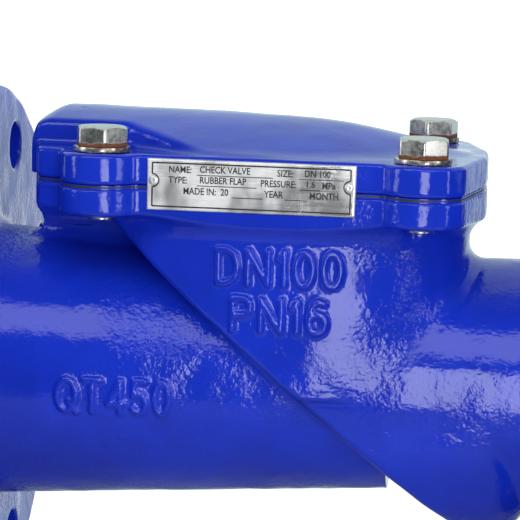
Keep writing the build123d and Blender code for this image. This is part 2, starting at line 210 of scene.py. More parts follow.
def from_segments(x, y, segments):
    """Distance to the nearest of some straight segments, each given by its two ends."""
    nearest = np.full(np.broadcast(x, y).shape, FAR)
    for (ax, ay), (bx, by) in segments:
        dx, dy = bx - ax, by - ay
        t = np.clip(((x - ax) * dx + (y - ay) * dy) / (dx * dx + dy * dy), 0, 1)
        nearest = np.minimum(nearest, np.hypot(x - ax - t * dx, y - ay - t * dy))
    return nearest


def polygon(x, y, corners):
    """Signed distance to a closed outline, negative inside."""
    sides = list(zip(corners, corners[1:] + corners[:1]))
    nearest = from_segments(x, y, sides)
    inside = np.zeros(nearest.shape, bool)
    for (ax, ay), (bx, by) in sides:
        if ay != by:
            inside ^= ((ay > y) != (by > y)) & (x < ax + (y - ay) * (bx - ax) / (by - ay))
    return np.where(inside, -nearest, nearest)


TINY, LEAST_SLOPE = 1e-6, 0.005  # keep the oval's size and slope above 0


def oval(x, y, semi_x, semi_y):
    """Distance to the neck's rounded-off oval, good near the line itself."""
    u, v = np.abs(x - NECK_X) / semi_x, np.abs(y) / semi_y
    size = (u ** NECK_POWER + v ** NECK_POWER + TINY) ** (1 / NECK_POWER)
    pull = size ** (1 - NECK_POWER)
    slope = np.hypot(pull * u ** (NECK_POWER - 1) / semi_x, pull * v ** (NECK_POWER - 1) / semi_y)
    return (size - 1) / np.maximum(slope, LEAST_SLOPE)


def blurred(values, reach, step):
    """A flat field with its corners rounded, by smoothing it along both plan directions."""
    half = int(math.ceil(2 * reach / step))
    kernel = np.exp(-0.5 * (np.arange(-half, half + 1) * step / reach) ** 2)
    kernel /= kernel.sum()
    for axis in (0, 1):
        pads = [(half, half) if a == axis else (0, 0) for a in (0, 1)]
        mode = "reflect" if axis else "edge"
        padded = np.pad(values, pads, mode=mode)
        values = np.apply_along_axis(np.convolve, axis, padded, kernel, "valid")
    return values


def averaged(profile, window):
    """A row of values, each averaged with window neighbours on both sides."""
    padded = np.pad(profile, window, mode="edge")
    return np.convolve(padded, np.ones(2 * window + 1) / (2 * window + 1), "valid")


def mirrored(corners):
    """A closed outline that is symmetric about y = 0, from the corners of its y <= 0 half."""
    return corners + [(x, -y) for x, y in reversed(corners) if y]


EAR_FLAT_IN, EAR_FLAT_L = 2.0, 10.0  # where the ears run straight on towards the tip
TIP_CORNER_X, TIP_CORNER_IN, TIP_HALF, TIP_BOW = 62.0, 7.0, 16.0, 0.5
LOBE_CORNER_XS, LOBE_CORNER_INS, LOBE_HALF, LOBE_BOW = (-90.0, -99.0), (4.0, 7.0), 12.0, 1.0
OUTLINE_BLUR = 1.6


def joint_outline(field):
    """Plan of the cover joint: oval waist, four bolt ears, a lobe over the hinge and a blunt tip."""
    x, y = field.x[:, :, 0], field.y[:, :, 0]
    left, right = BOLT_XS["left"], BOLT_XS["right"]
    edge = BOLT_Y + EAR_R - EAR_FLAT_IN
    shape = np.maximum(between(x, left, right), np.abs(y) - WAIST_Y)
    for bolt_x in (left, right):
        shape = np.minimum(shape, np.hypot(x - bolt_x, y - BOLT_Y) - EAR_R)
    tip = [(right, -edge), (right + EAR_FLAT_L, -edge), (TIP_CORNER_X, TIP_CORNER_IN - edge),
           (TIP_X - TIP_BOW, -TIP_HALF), (TIP_X, 0)]
    lobe = [(left, -BOLT_Y)]
    lobe += [(corner_x, inset - BOLT_Y) for corner_x, inset in zip(LOBE_CORNER_XS, LOBE_CORNER_INS)]
    lobe += [(LOBE_X + LOBE_BOW, -LOBE_HALF), (LOBE_X, 0)]
    for corners in (tip, lobe):
        shape = np.minimum(shape, polygon(x, y, mirrored(corners)))
    return blurred(shape, OUTLINE_BLUR, field.step)[:, :, None]


RECESS_PAST_HINGE, RECESS_SIDE_ROOM = 2.0, 1.0


def hinge_seat(field):
    """The room for the flap's bead and tongue, half in the body and half in the cover."""
    groove = np.maximum(np.hypot(field.x - BEAD_X, field.z - BODY_TOP) - BEAD_R - BEAD_ROOM,
                        field.y - BEAD_HALF - BEAD_ROOM)
    recess = np.maximum(between(field.x, BEAD_X, HINGE.x + RECESS_PAST_HINGE),
                        np.abs(field.z - BODY_TOP) - TONGUE_T / 2 - BEAD_ROOM)
    return np.minimum(groove, np.maximum(recess, field.y - TONGUE_HALF - RECESS_SIDE_ROOM))


# --- Cast marks ---
RING = [(0.5 + 0.5 * math.sin(math.pi * i / 8), 0.5 + 0.5 * math.cos(math.pi * i / 8)) for i in range(17)]
LETTER_GAP = 0.36
PENS = {  # each cast letter's width for a height of 1, and its pen paths in a unit square
    "D": (0.70, [[(0, 0), (0, 1), (0.45, 1), (0.85, 0.84), (1, 0.5), (0.85, 0.16), (0.45, 0), (0, 0)]]),
    "N": (0.70, [[(0, 0), (0, 1), (1, 0), (1, 1)]]),
    "P": (0.62, [[(0, 0), (0, 1), (0.7, 1), (0.97, 0.88), (0.97, 0.6), (0.7, 0.47), (0, 0.47)]]),
    "Q": (0.78, [RING, [(0.6, 0.32), (1.05, -0.04)]]),
    "T": (0.66, [[(0, 1), (1, 1)], [(0.5, 1), (0.5, 0)]]),
    "0": (0.60, [RING]),
    "1": (0.22, [[(0, 0.76), (0.9, 1), (0.9, 0)]]),
    "4": (0.66, [[(0.75, 0), (0.75, 1), (0, 0.28), (1, 0.28)]]),
    "5": (0.58, [[(0.92, 1), (0.14, 1), (0.06, 0.55), (0.5, 0.63), (0.88, 0.52), (1, 0.3), (0.85, 0.08),
                  (0.45, 0), (0.02, 0.12)]]),
    "6": (0.60, [[(0.88, 0.93), (0.52, 1), (0.16, 0.82), (0, 0.4), (0.12, 0.1), (0.5, 0), (0.88, 0.1),
                  (1, 0.32), (0.88, 0.53), (0.5, 0.62), (0.1, 0.48)]]),
}
MARKS = [  # text, lowest and highest corner of its pen paths on the front, half a stroke, its height
    ("DN100", (-27.6, 43.2), (18.2, 55.8), 1.2, 1.5),
    ("PN16", (-21.6, 25.8), (13.2, 37.8), 1.2, 1.5),
    ("QT450", (-87.6, -8.8), (-45.4, 3.6), 1.15, 1.3),
]
MARKS_OUTSIDE = 48.8  # the marks stand on the skin beyond this y, so the walls' insides stay plain
MARK_MARGIN, MARK_EDGE_R = 4.0, 0.9


def pen_strokes(text, low, high):
    """Both ends of every stroke of a cast text that fills the box from low to high."""
    whole_width = sum(PENS[letter][0] for letter in text) + LETTER_GAP * (len(text) - 1)
    scale, left = (high[0] - low[0]) / whole_width, low[0]
    for letter in text:
        width, paths = PENS[letter]
        for path in paths:
            placed = [(left + u * width * scale, low[1] + v * (high[1] - low[1])) for u, v in path]
            yield from zip(placed, placed[1:])
        left += (width + LETTER_GAP) * scale


def add_marks(field, body):
    """Raises the cast marks on the front of the whole body field, in place."""
    for text, low, high, half_stroke, height in MARKS:
        xs, zs = [slice(int((low[i] - MARK_MARGIN - start) / field.step),
                        int((high[i] + MARK_MARGIN - start) / field.step))
                  for i, start in enumerate((field.low.x, field.low.z))]
        ys = slice(0, body.shape[1] // 2 - int(MARKS_OUTSIDE / field.step))
        letters = from_segments(field.x[xs], field.z[:, :, zs], pen_strokes(text, low, high)) - half_stroke
        patch = body[xs, ys, zs]
        raised = meet(np.broadcast_to(letters, patch.shape), patch - height, MARK_EDGE_R)
        body[xs, ys, zs] = join(patch, raised, MARK_EDGE_R)


# --- Body casting ---
FLANGE_FILLET, JOINT_FILLET, RIB_FILLET, SEAT_WALL_FILLET = 5.0, 10.0, 5.0, 3.0
CAST_EDGE_R, SEAT_WALL_EDGE_R, MACHINED_EDGE_R, DRILLED_EDGE_R = 1.6, 2.2, 0.3, 0.5
ROOM_EDGE_R, INLET_ROOM_EDGE_R, HOLLOW_EDGE_R = 2.0, 3.0, 0.6
BOLT_HOLE_EDGE_R, PORT_EDGE_R = 1.0, 0.8
OVERLAP = 6.0  # how far a part of the casting runs on into its neighbour
OUTLET_BLEND = 24.0  # over which the outlet's outside changes its slope
BELLY_BLEND, ROOM_BLEND = 1.2, 4.0
CREASE_R, CREASE_GROWTH, CREASE_LIMITS = 1.0, 0.14, (0.9, 6.0)  # neck to outlet: at z = 0, per mm of z
TAPPED_FROM_Z = 60.0


def pipe_flange(field, outward):
    """A pipe flange's disc, and its raised face. Outward is -1 at the inlet and 1 at the outlet."""
    back = outward * (FACE_X - FLANGE_T)
    front = outward * (FACE_X - RAISED_H)
    disc = meet(field.radius - FLANGE_R, between(field.x, *sorted((back, front))), CAST_EDGE_R)
    face = np.maximum(field.radius - RAISED_R, between(field.x, *sorted((back, outward * FACE_X))))
    return disc, face


def bolt_holes(field):
    """The bolt holes of both pipe flanges; the y >= 0 half has half of them."""
    holes = FAR
    for i in range(BOLT_HOLES // 2):
        angle = math.pi * (2 * i + 1) / BOLT_HOLES
        dy, dz = field.y - BOLT_CIRCLE_R * math.sin(angle), field.z - BOLT_CIRCLE_R * math.cos(angle)
        holes = np.minimum(holes, np.hypot(dy, dz) - BOLT_HOLE_R)
    return np.maximum(holes, FACE_X - 1.5 * FLANGE_T - np.abs(field.x))


def inlet_room(field):
    """The waterway before the seat wall."""
    inner = np.interp(field.x, [-FACE_X + PORT_LENGTH, -FACE_X + 2 * PORT_LENGTH, INLET_XS[1]],
                      [PORT_R, INLET_RS[0] - WALL - 1, INLET_RS[1] - WALL])
    return meet(field.radius - inner, field.above_seat + SEAT_WALL, INLET_ROOM_EDGE_R)


def chamber_room(field):
    """The waterway behind the seat wall, with the flap's room under the cover."""
    end = FACE_X - PORT_LENGTH
    inner = np.interp(field.x, [*OUTLET_XS[:2], end - PORT_LENGTH, end],
                      [*(r - WALL for r in OUTLET_RS), PORT_R])
    neck = np.maximum(oval(field.x, field.y, NECK_A - WALL, NECK_B - WALL), -field.z)
    room = soften(field.radius - inner, belly(field, WALL), ROOM_BLEND)
    return meet(join(room, neck, ROOM_EDGE_R), -field.above_seat, ROOM_EDGE_R)


def belly(field, inset):
    """The chamber's lower bulge: a cylinder below the pipe axis with a well rounded end."""
    out = np.hypot(field.y, field.z + BELLY_DROP)
    return meet(out - BELLY_R + inset, field.x - BELLY_TIP_X + inset, BELLY_ROUND)


def chamber_outside(field):
    """Neck, outlet pipe and belly, cut off along the back of the seat wall."""
    profile = np.interp(field.x[:, 0, 0], OUTLET_XS, OUTLET_RS)
    profile = averaged(profile, int(OUTLET_BLEND / field.step))
    outlet = np.maximum(field.radius - profile[:, None, None], field.x - FACE_X + OVERLAP).astype(np.float32)
    neck = np.maximum(oval(field.x, field.y, NECK_A, NECK_B), between(field.z, 0, BODY_TOP + OVERLAP))
    lower = soften(outlet, belly(field, 0.0), BELLY_BLEND)
    crease = np.clip(CREASE_R + CREASE_GROWTH * field.z, *CREASE_LIMITS)
    return meet(join(lower, neck, crease), -field.above_seat - SEAT_WALL, SEAT_WALL_EDGE_R)


def flat_faces(field, body):
    """Trims the machined faces: the top of the cover joint, and the two flange faces."""
    between_flanges = np.abs(field.x) < FACE_X - FLANGE_T - OVERLAP
    body = np.where(between_flanges, meet(body, field.z - BODY_TOP, MACHINED_EDGE_R), body)
    return np.maximum(body, np.abs(field.x) - FACE_X)


def body_outside(field):
    """The casting without its hollows: pipes, neck, rib, cover joint and pipe flanges."""
    inlet = np.maximum(field.radius - np.interp(field.x, INLET_XS, INLET_RS),
                       between(field.x, OVERLAP - FACE_X, INLET_XS[1]))
    body = join(inlet, chamber_outside(field), SEAT_WALL_FILLET)
    rib = np.maximum(between(field.x, *RIB_X), field.y - RIB_T / 2)
    body = join(body, np.maximum(rib, between(field.z, *RIB_Z)), RIB_FILLET)
    outline = joint_outline(field)
    joint = meet(outline, between(field.z, BODY_TOP - BODY_FLANGE_T, BODY_TOP + OVERLAP), CAST_EDGE_R)
    filleted = np.maximum(join(body, joint, JOINT_FILLET), outline)
    body = flat_faces(field, np.minimum(np.minimum(body, joint), filleted))
    for outward in (-1, 1):
        disc, face = pipe_flange(field, outward)
        body = np.minimum(join(body, disc, FLANGE_FILLET), face)
    return body


def port_plan(field):
    """Distances from the middle of the seat port: down the seat's slope, and straight out from it."""
    across = (field.x - PORT_CENTRE.x) * COS_SLOPE - (field.z - PORT_CENTRE.z) * SIN_SLOPE
    return across, np.hypot(across, field.y)


def body_field(step):
    field = Field((-149, -113, -113), (149, 113, 113), step)
    _, from_port = port_plan(field)
    body = cut(body_outside(field), np.minimum(inlet_room(field), chamber_room(field)), HOLLOW_EDGE_R)
    land = np.maximum(from_port - LAND_R, between(field.above_seat, -2 * LAND_H, LAND_H))
    body = np.minimum(body, land)
    port = np.maximum(from_port - SEAT_PORT_R, np.abs(field.above_seat) - 2 * SEAT_WALL)
    body = cut(body, port, PORT_EDGE_R)
    body = cut(body, bolt_holes(field), BOLT_HOLE_EDGE_R)
    body = np.maximum(body, -hinge_seat(field))
    for x in BOLT_XS.values():
        hole = np.hypot(field.x - x, field.y - BOLT_Y) - TAPPED_HOLE_R
        body = cut(body, np.maximum(hole, TAPPED_FROM_Z - field.z), DRILLED_EDGE_R)
    return field, body


# --- Bonnet ---
RIDGE_XS = (-107.0, -93.0, -60.0, -26.0, 12.0, 35.0, 52.0, 70.0)
RIDGE_ZS = (103.8, 103.8, 103.4, 102.9, 101.1, 97.1, 92.6, 86.9)
CROWN_FALL, CROWN_HALF, CROWN_POWER = 13.2, 50.0, 1.4
RIDGE_WINDOW, RIDGE_SOFT = 20, 4.0  # samples averaged along the ridge, and its rounding across in mm
DOME_END_X, DOME_END_Z, DOME_END_SLOPE = -103.6, 98.0, math.radians(52.0)
FUNNEL_END_X, FUNNEL_HALF, DOME_OVAL_X, DOME_OVERHANG = -105.0, 52.0, -30.0, 1.0
DOME_FOOT_FILLET, DOME_EDGE_R, DOME_END_EDGE_R, DOME_PLAN_BLUR, COVER_EDGE_R = 2.5, 3.0, 4.0, 1.5, 1.8


def dome(field, inset):
    """The dome: a crowned sheet over its plan, with a sloping end over the hinge."""
    ridge = averaged(np.interp(field.x[:, 0, 0], RIDGE_XS, RIDGE_ZS), RIDGE_WINDOW)
    bow = np.sqrt(field.y ** 2 + RIDGE_SOFT ** 2) - RIDGE_SOFT
    top = (ridge[:, None, None] - CROWN_FALL * (bow / CROWN_HALF) ** CROWN_POWER).astype(np.float32)
    steep_x, steep_y = np.gradient(top[:, :, 0], field.step)
    under = (field.z - top + inset) / np.sqrt(1 + steep_x ** 2 + steep_y ** 2)[:, :, None]
    narrow, broad = inset - LEDGE_HALF, inset - FUNNEL_HALF
    funnel = [(inset + FUNNEL_END_X, narrow), (LEDGE_X, narrow), (DOME_WIDE_X, broad), (0, broad)]
    flat_x, flat_y = field.x[:, :, 0], field.y[:, :, 0]
    wide = oval(flat_x, flat_y, NECK_A - inset, NECK_B + DOME_OVERHANG - inset)
    wide = np.maximum(wide, DOME_OVAL_X - flat_x)
    plan = np.minimum(polygon(flat_x, flat_y, mirrored(funnel)), wide)
    plan = blurred(plan, DOME_PLAN_BLUR, field.step)[:, :, None]
    end = -(field.x - DOME_END_X - inset) * math.sin(DOME_END_SLOPE)
    end = end + (field.z - DOME_END_Z) * math.cos(DOME_END_SLOPE)
    return meet(meet(under, plan, DOME_EDGE_R), end, DOME_END_EDGE_R)


def bonnet_field(step):
    field = Field((-110, -68, 76), (73, 68, 107), step)
    slab = meet(joint_outline(field), between(field.z, COVER_BOTTOM, COVER_TOP), COVER_EDGE_R)
    cover = join(slab, dome(field, 0.0), DOME_FOOT_FILLET)
    cover = meet(cover, COVER_BOTTOM - field.z, MACHINED_EDGE_R)
    inside = np.maximum(dome(field, DOME_WALL), oval(field.x, field.y, NECK_A - WALL, NECK_B - WALL))
    cover = cut(cover, meet(inside, -field.above_seat, ROOM_EDGE_R), HOLLOW_EDGE_R)
    cover = np.maximum(cover, -hinge_seat(field))
    for x in BOLT_XS.values():
        from_bolt = np.hypot(field.x - x, field.y - BOLT_Y)
        cover = cut(cover, np.maximum(from_bolt - SPOT_FACE_R, COVER_TOP - field.z), DRILLED_EDGE_R)
        cover = cut(cover, from_bolt - COVER_HOLE_R, DRILLED_EDGE_R)
    return field, cover


# --- Uneven cast skin ---
SKIN_WAVES, WAVE_SPREAD = 14, (0.7, 1.8)  # how many waves, and their lengths against the mean
SKIN_MARGIN, SKIN_FADE = 1.0, 3.0  # from a machined face to where the cast skin starts and is full


def roughen(obj, seed, height, wavelength, keep):
    """Pushes the skin in and out by up to height mm, except where keep(points in mm) is 0."""
    mesh = obj.data
    points, normals = np.zeros(3 * len(mesh.vertices)), np.zeros(3 * len(mesh.vertices))
    mesh.vertices.foreach_get("co", points)
    mesh.vertex_normals.foreach_get("vector", normals)
    points, normals = points.reshape(-1, 3) / MM, normals.reshape(-1, 3)
    rng = np.random.default_rng(seed)
    push = np.zeros(len(points))
    for _ in range(SKIN_WAVES):
        direction = rng.normal(size=3)
        direction /= np.linalg.norm(direction)
        length = wavelength * rng.uniform(*WAVE_SPREAD)
        push += np.sin(points @ direction * 2 * math.pi / length + rng.uniform(0, 2 * math.pi))
    moved = points + normals * (push * height / math.sqrt(SKIN_WAVES) * keep(points))[:, None]
    low, high = np.array(CAD_BOX[0]) / MM, np.array(CAD_BOX[1]) / MM
    mesh.vertices.foreach_set("co", (np.clip(moved, low, high) * MM).ravel())
    mesh.update()


def body_skin(points):
    """1 on the cast skin, falling to 0 at the machined faces and the seat."""
    x, z = points[:, 0], points[:, 2]
    above_seat = (x - SEAT_X) * SIN_SLOPE + z * COS_SLOPE
    from_faces = np.minimum(FACE_X - RAISED_H - np.abs(x), np.abs(z - BODY_TOP)) - SKIN_MARGIN
    return np.clip(np.minimum(from_faces, np.abs(above_seat) - 2 * SKIN_MARGIN) / SKIN_FADE, 0, 1)


def cover_skin(points):
    """1 on the cast skin, falling to 0 at the cover's machined underside."""
    return np.clip((points[:, 2] - COVER_BOTTOM - SKIN_MARGIN) / SKIN_FADE, 0, 1)


# --- Turned and hexagonal parts ---
def mesh_object(name, points, faces):
    """A smooth-shaded object from points in mm."""
    mesh = bpy.data.meshes.new(name)
    mesh.from_pydata([tuple(c * MM for c in p) for p in points], [], faces)
    mesh.validate()
    mesh.shade_smooth()
    return new_object(name, mesh)


def skin(name, rings, closed):
    """Joins rings of equal length into a skin; closed joins the last ring to the first."""
    n = len(rings[0])
    points = [p for ring in rings for p in ring]
    faces = []
    for i in range(len(rings) if closed else len(rings) - 1):
        a, b = i * n, (i + 1) % len(rings) * n
        faces += [(a + j, a + (j + 1) % n, b + (j + 1) % n, b + j) for j in range(n)]
    if not closed:
        faces += [tuple(reversed(range(n))), tuple(range(len(points) - n, len(points)))]
    return mesh_object(name, points, faces)


def circle(radius, z, steps, turn=0.0):
    """Points round the z axis."""
    angles = [2 * math.pi * i / steps + turn for i in range(steps)]
    return [(radius * math.cos(a), radius * math.sin(a), z) for a in angles]


AXIS_R = 0.05  # the innermost ring of a turned part, which a small face closes
TURNED_CREASE, HEAD_CREASE = math.radians(40.0), math.radians(25.0)
HEAD_STEPS, HEAD_CHAMFER = 144, math.radians(30.0)
CHAMFER_SHARE, WORN_SHARE = 0.47, 0.568  # radii of the chamfer's foot and the worn corners, by HEAD_AF
HEAD_LEVELS = ((0.0, 0.25), (0.04, 0.0), (0.9, 0.0), (1.0, 0.2))  # share of the height, and pull inwards
HEAD_DISH = ((0.4, 0.0), (2.0, 0.12), (6.96, 0.25))  # in from the chamfer's foot, and drop below the top
CREST_IN, ROOT_IN, TIP_IN = 0.08, 0.9, 1.6  # the thread and the shank's end, in from BOLT_R
THREAD_STOP, TIP_H = 1.2, 0.5


def turned(name, profile, steps, closed):
    """A solid of revolution about z from (radius, z) points."""
    obj = skin(name, [circle(radius, z, steps) for radius, z in profile], closed)
    obj.data.set_sharp_from_angle(angle=TURNED_CREASE)
    return obj


def hex_ring(level, pull, turn):
    """One ring of a hexagonal head, whose corners are worn and chamfered."""
    ring = []
    for i in range(HEAD_STEPS):
        angle = 2 * math.pi * i / HEAD_STEPS
        r = min(HEAD_AF / 2 / math.cos(angle % (math.pi / 3) - math.pi / 6), WORN_SHARE * HEAD_AF)
        top = HEAD_H - max(r - CHAMFER_SHARE * HEAD_AF, 0.0) * math.tan(HEAD_CHAMFER)
        r -= pull
        ring.append((r * math.cos(angle + turn), r * math.sin(angle + turn), level * top))
    return ring


def hex_head(name, turn):
    """A hexagonal bolt head on z = 0, turned off on top and slightly dished."""
    rings = [hex_ring(level, pull, turn) for level, pull in HEAD_LEVELS]
    for inwards, drop in HEAD_DISH:
        rings.append(circle(CHAMFER_SHARE * HEAD_AF - inwards, HEAD_H - drop, HEAD_STEPS, turn))
    head = skin(name, rings, closed=False)
    head.data.set_sharp_from_angle(angle=HEAD_CREASE)
    return head


def bolt(name, x, y, turn):
    """A cover bolt's head and shank; the thread is cut where the shank's end shows."""
    under_head = COVER_TOP + WASHER_T
    length = under_head - (BODY_TOP - BODY_FLANGE_T - BOLT_END)
    profile, z = [(AXIS_R, 0.2), (BOLT_R - 0.1, 0.2)], THREAD_SHOWN - length
    while z > THREAD_STOP - length:
        profile += [(BOLT_R - CREST_IN, z), (BOLT_R - ROOT_IN, z - THREAD_PITCH / 2)]
        z -= THREAD_PITCH
    profile += [(BOLT_R - ROOT_IN, TIP_H - length), (BOLT_R - TIP_IN, -length), (AXIS_R, -length)]
    pieces = hex_head(name, turn), turned(f"{name}_shank", profile, 40, closed=False)
    for piece in pieces:
        piece.location = Vector((x, y, under_head)) * MM
    return pieces


def washer(name, x, y):
    """A plain washer with rolled edges."""
    inner, outer, t, r = WASHER_HOLE_R, WASHER_R, WASHER_T, 0.45
    profile = [(inner, 0), (outer - r, 0), (outer - 0.1, 0.15), (outer, r), (outer, t - r),
               (outer - 0.12, t - 0.12), (outer - r, t), (inner + r, t), (inner, t - r)]
    ring = turned(name, profile, 72, closed=True)
    ring.location = Vector((x, y, COVER_TOP)) * MM
    return ring


def rivet(name, x):
    """A drive rivet's low dome, with the dimple of its pin."""
    shank, end, head_r = RIVET_SHANK_R, -RIVET_SHANK_L, RIVET_HEAD_R
    profile = [(AXIS_R, end), (shank, end), (shank, 0.0), (head_r, 0.0), (head_r, 0.25), (1.55, 0.65),
               (1.2, 0.85), (0.85, 0.9), (0.75, 0.3), (AXIS_R, 0.2)]
    head = turned(name, profile, 40, closed=False)
    head.rotation_euler = (math.pi / 2, 0, 0)
    head.location = Vector((x, PLATE_FRONT, RIVET_Z)) * MM
    return head


# --- Nameplate ---
def on_plate(x, z, proud=0.0):
    """A place on the front of the nameplate, which was bent a little when it was riveted on."""
    buckle = BUCKLE_DEPTH * math.sin(0.19 * x + 0.5) * math.sin(0.21 * z)
    dent = DENT_DEPTH * math.cos(0.33 * x - 0.12 * z)
    return (PLATE_X + x, PLATE_FRONT + SHEET_SINK + buckle - dent - proud, PLATE_Z + z)


def plate_sheet():
    """The thin plate, with its front edge rolled over."""
    (nx, nz), roll, points = SHEET_CELLS, SHEET_ROLL, []
    for i in range(nx + 1):
        for j in range(nz + 1):
            x, z = PLATE_L * (i / nx - 0.5), PLATE_H * (j / nz - 0.5)
            inset = min(PLATE_L / 2 - abs(x), PLATE_H / 2 - abs(z), roll)
            points.append(on_plate(x, z, math.sqrt(roll ** 2 - (roll - inset) ** 2) - roll))
    faces = [(a, a + nz + 1, a + nz + 2, a + 1) for i in range(nx)
             for a in range(i * (nz + 1), i * (nz + 1) + nz)]
    sheet = mesh_object("nameplate_sheet", points, faces)
    solid = sheet.modifiers.new("thickness", "SOLIDIFY")
    solid.thickness, solid.offset = SHEET_T * MM, -1.0
    return sheet


def strip(path, width):
    """Points and faces of an ink line along a path on the plate."""
    points = []
    for i, (x, z) in enumerate(path):
        before, after = path[max(i - 1, 0)], path[min(i + 1, len(path) - 1)]
        dx, dz = after[0] - before[0], after[1] - before[1]
        scale = width / 2 / math.hypot(dx, dz)
        points += [on_plate(x - side * dz * scale, z + side * dx * scale, INK_T) for side in (1, -1)]
    return points, [(2 * i, 2 * i + 1, 2 * i + 3, 2 * i + 2) for i in range(len(path) - 1)]


def stepped(a, b):
    """A straight path in even steps of about 1 mm."""
    count = max(2, int(math.dist(a, b)))
    return [(a[0] + (b[0] - a[0]) * i / count, a[1] + (b[1] - a[1]) * i / count) for i in range(count + 1)]


HALF_TURN = [math.pi * i / 16 for i in range(17)]


def border_paths():
    """The printed frame: four lines, the upright ones stepping round the rivets in a half circle."""
    half_x, half_z = PLATE_L / 2 - BORDER_IN, PLATE_H / 2 - BORDER_IN + 0.5
    for z in (half_z, -half_z):
        yield stepped((-half_x, z), (half_x, z))
    centre = RIVET_Z - PLATE_Z
    for side in (-1, 1):
        x = side * half_x
        yield stepped((x, half_z), (x, centre + NOTCH_R))
        yield [(x - side * NOTCH_R * math.sin(a), centre + NOTCH_R * math.cos(a)) for a in HALF_TURN]
        yield stepped((x, centre - NOTCH_R), (x, -half_z))


def text_mesh(text, size):
    """Filled text as points and faces, from its left end on its baseline, in mm."""
    curve = bpy.data.curves.new("print", "FONT")
    curve.body, curve.size, curve.offset, curve.resolution_u = text, size, TEXT_BOLD, 3
    holder = new_object("print", curve)
    bpy.context.view_layer.update()
    mesh = holder.to_mesh()
    points, faces = [tuple(v.co[:2]) for v in mesh.vertices], [tuple(p.vertices) for p in mesh.polygons]
    holder.to_mesh_clear()
    bpy.data.objects.remove(holder)
    return points, faces


def plate_print():
    """Frame, words and blanks of the nameplate in black ink. The words are generic."""
    points, faces = [], []

    def add(new_points, new_faces):
        start = len(points)
        points.extend(new_points)
        faces.extend(tuple(start + v for v in face) for face in new_faces)

    for path in border_paths():
        add(*strip(path, BORDER_W))
    for x, z, text in PLATE_WORDS:
        flat, letters = text_mesh(text, TEXT_SIZE)
        add([on_plate(x + px, z + pz * TEXT_STRETCH, INK_T) for px, pz in flat], letters)
    for x0, x1, z in PLATE_BLANKS:
        add(*strip(stepped((x0, z), (x1, z)), BLANK_W))
    return mesh_object("nameplate_print", points, faces)


# --- Flap ---
FLAP_EDGE_R, FLAP_NECK_EDGE_R, FLAP_NECK_FILLET = 1.8, 1.5, 2.0
FLAP_RIB_R, FLAP_RIB_IN, DISC_IN = 1.1, 0.9, 0.3  # the rib's radius, and rib and disc in from the face
DISH_IN, DISH_DEPTH, DISH_FOOT_R, DISH_EDGE_R = 9.0, 1.5, 1.0, 0.8
TONGUE_EDGE_R, TONGUE_INTO_BEAD, BEND_STEPS = 1.4, 0.6, 16


def flap_field(step):
    """The moulded flap: a disc with a sealing rib, and the stiff neck that leads to its tongue."""
    field = Field((-72, -42, -24), (52, 42, 76), step)
    across, from_port = port_plan(field)
    height = field.above_seat - FLAP_MID
    disc = meet(from_port - FLAP_R, np.abs(height) - FLAP_T / 2 + DISC_IN, FLAP_EDGE_R)
    neck = np.maximum(between(across, -FLAP_R - NECK_OVERRUN, 0), field.y - TONGUE_HALF)
    neck = meet(neck, np.abs(height) - TONGUE_T / 2, FLAP_NECK_EDGE_R)
    dish = meet(from_port - FLAP_R + DISH_IN, FLAP_T / 2 - DISH_DEPTH - height, DISH_FOOT_R)
    flap = cut(join(disc, neck, FLAP_NECK_FILLET), dish, DISH_EDGE_R)
    rib = np.hypot(from_port - (SEAT_PORT_R + LAND_R) / 2, height + FLAP_T / 2 - FLAP_RIB_IN) - FLAP_RIB_R
    return field, np.minimum(flap, rib)


def tongue():
    """The rubber strip from the bead to the flap's neck, bent about the hinge line."""
    foot = HINGE + (PORT_SHIFT - FLAP_R - NECK_OVERRUN - HINGE_SLOPE) * SEAT_ACROSS
    start = Vector((BEAD_X + BEAD_R - TONGUE_INTO_BEAD, 0, BODY_TOP))
    tangent = TONGUE_BEND_R * math.tan(SLOPE / 2)
    line = [start.lerp(HINGE - Vector((tangent, 0, 0)), i / 6) for i in range(6)]
    centre = HINGE + Vector((-tangent, 0, -TONGUE_BEND_R))
    for i in range(BEND_STEPS + 1):
        angle = SLOPE * i / BEND_STEPS
        line.append(centre + TONGUE_BEND_R * Vector((math.sin(angle), 0, math.cos(angle))))
    bend_end = line[-1]
    line += [bend_end.lerp(foot + SEAT_ACROSS, i / 5) for i in range(1, 6)]
    rings, section = [], rounded_section(TONGUE_HALF, TONGUE_T / 2, TONGUE_EDGE_R)
    for i, point in enumerate(line):
        ahead = (line[min(i + 1, len(line) - 1)] - line[max(i - 1, 0)]).normalized()
        up = Vector((-ahead.z, 0, ahead.x))
        rings.append([tuple(point + Vector((0, a, 0)) + up * b) for a, b in section])
    return skin("hinge_tongue_rubber", rings, closed=False)


def rounded_section(half_width, half_height, r, steps=5):
    """Points round a rectangle with rounded corners."""
    points = []
    for first, (cx, cy) in enumerate(((1, 1), (-1, 1), (-1, -1), (1, -1))):
        for i in range(steps + 1):
            angle = math.pi / 2 * (first + i / steps)
            points.append((cx * (half_width - r) + r * math.cos(angle),
                           cy * (half_height - r) + r * math.sin(angle)))
    return points


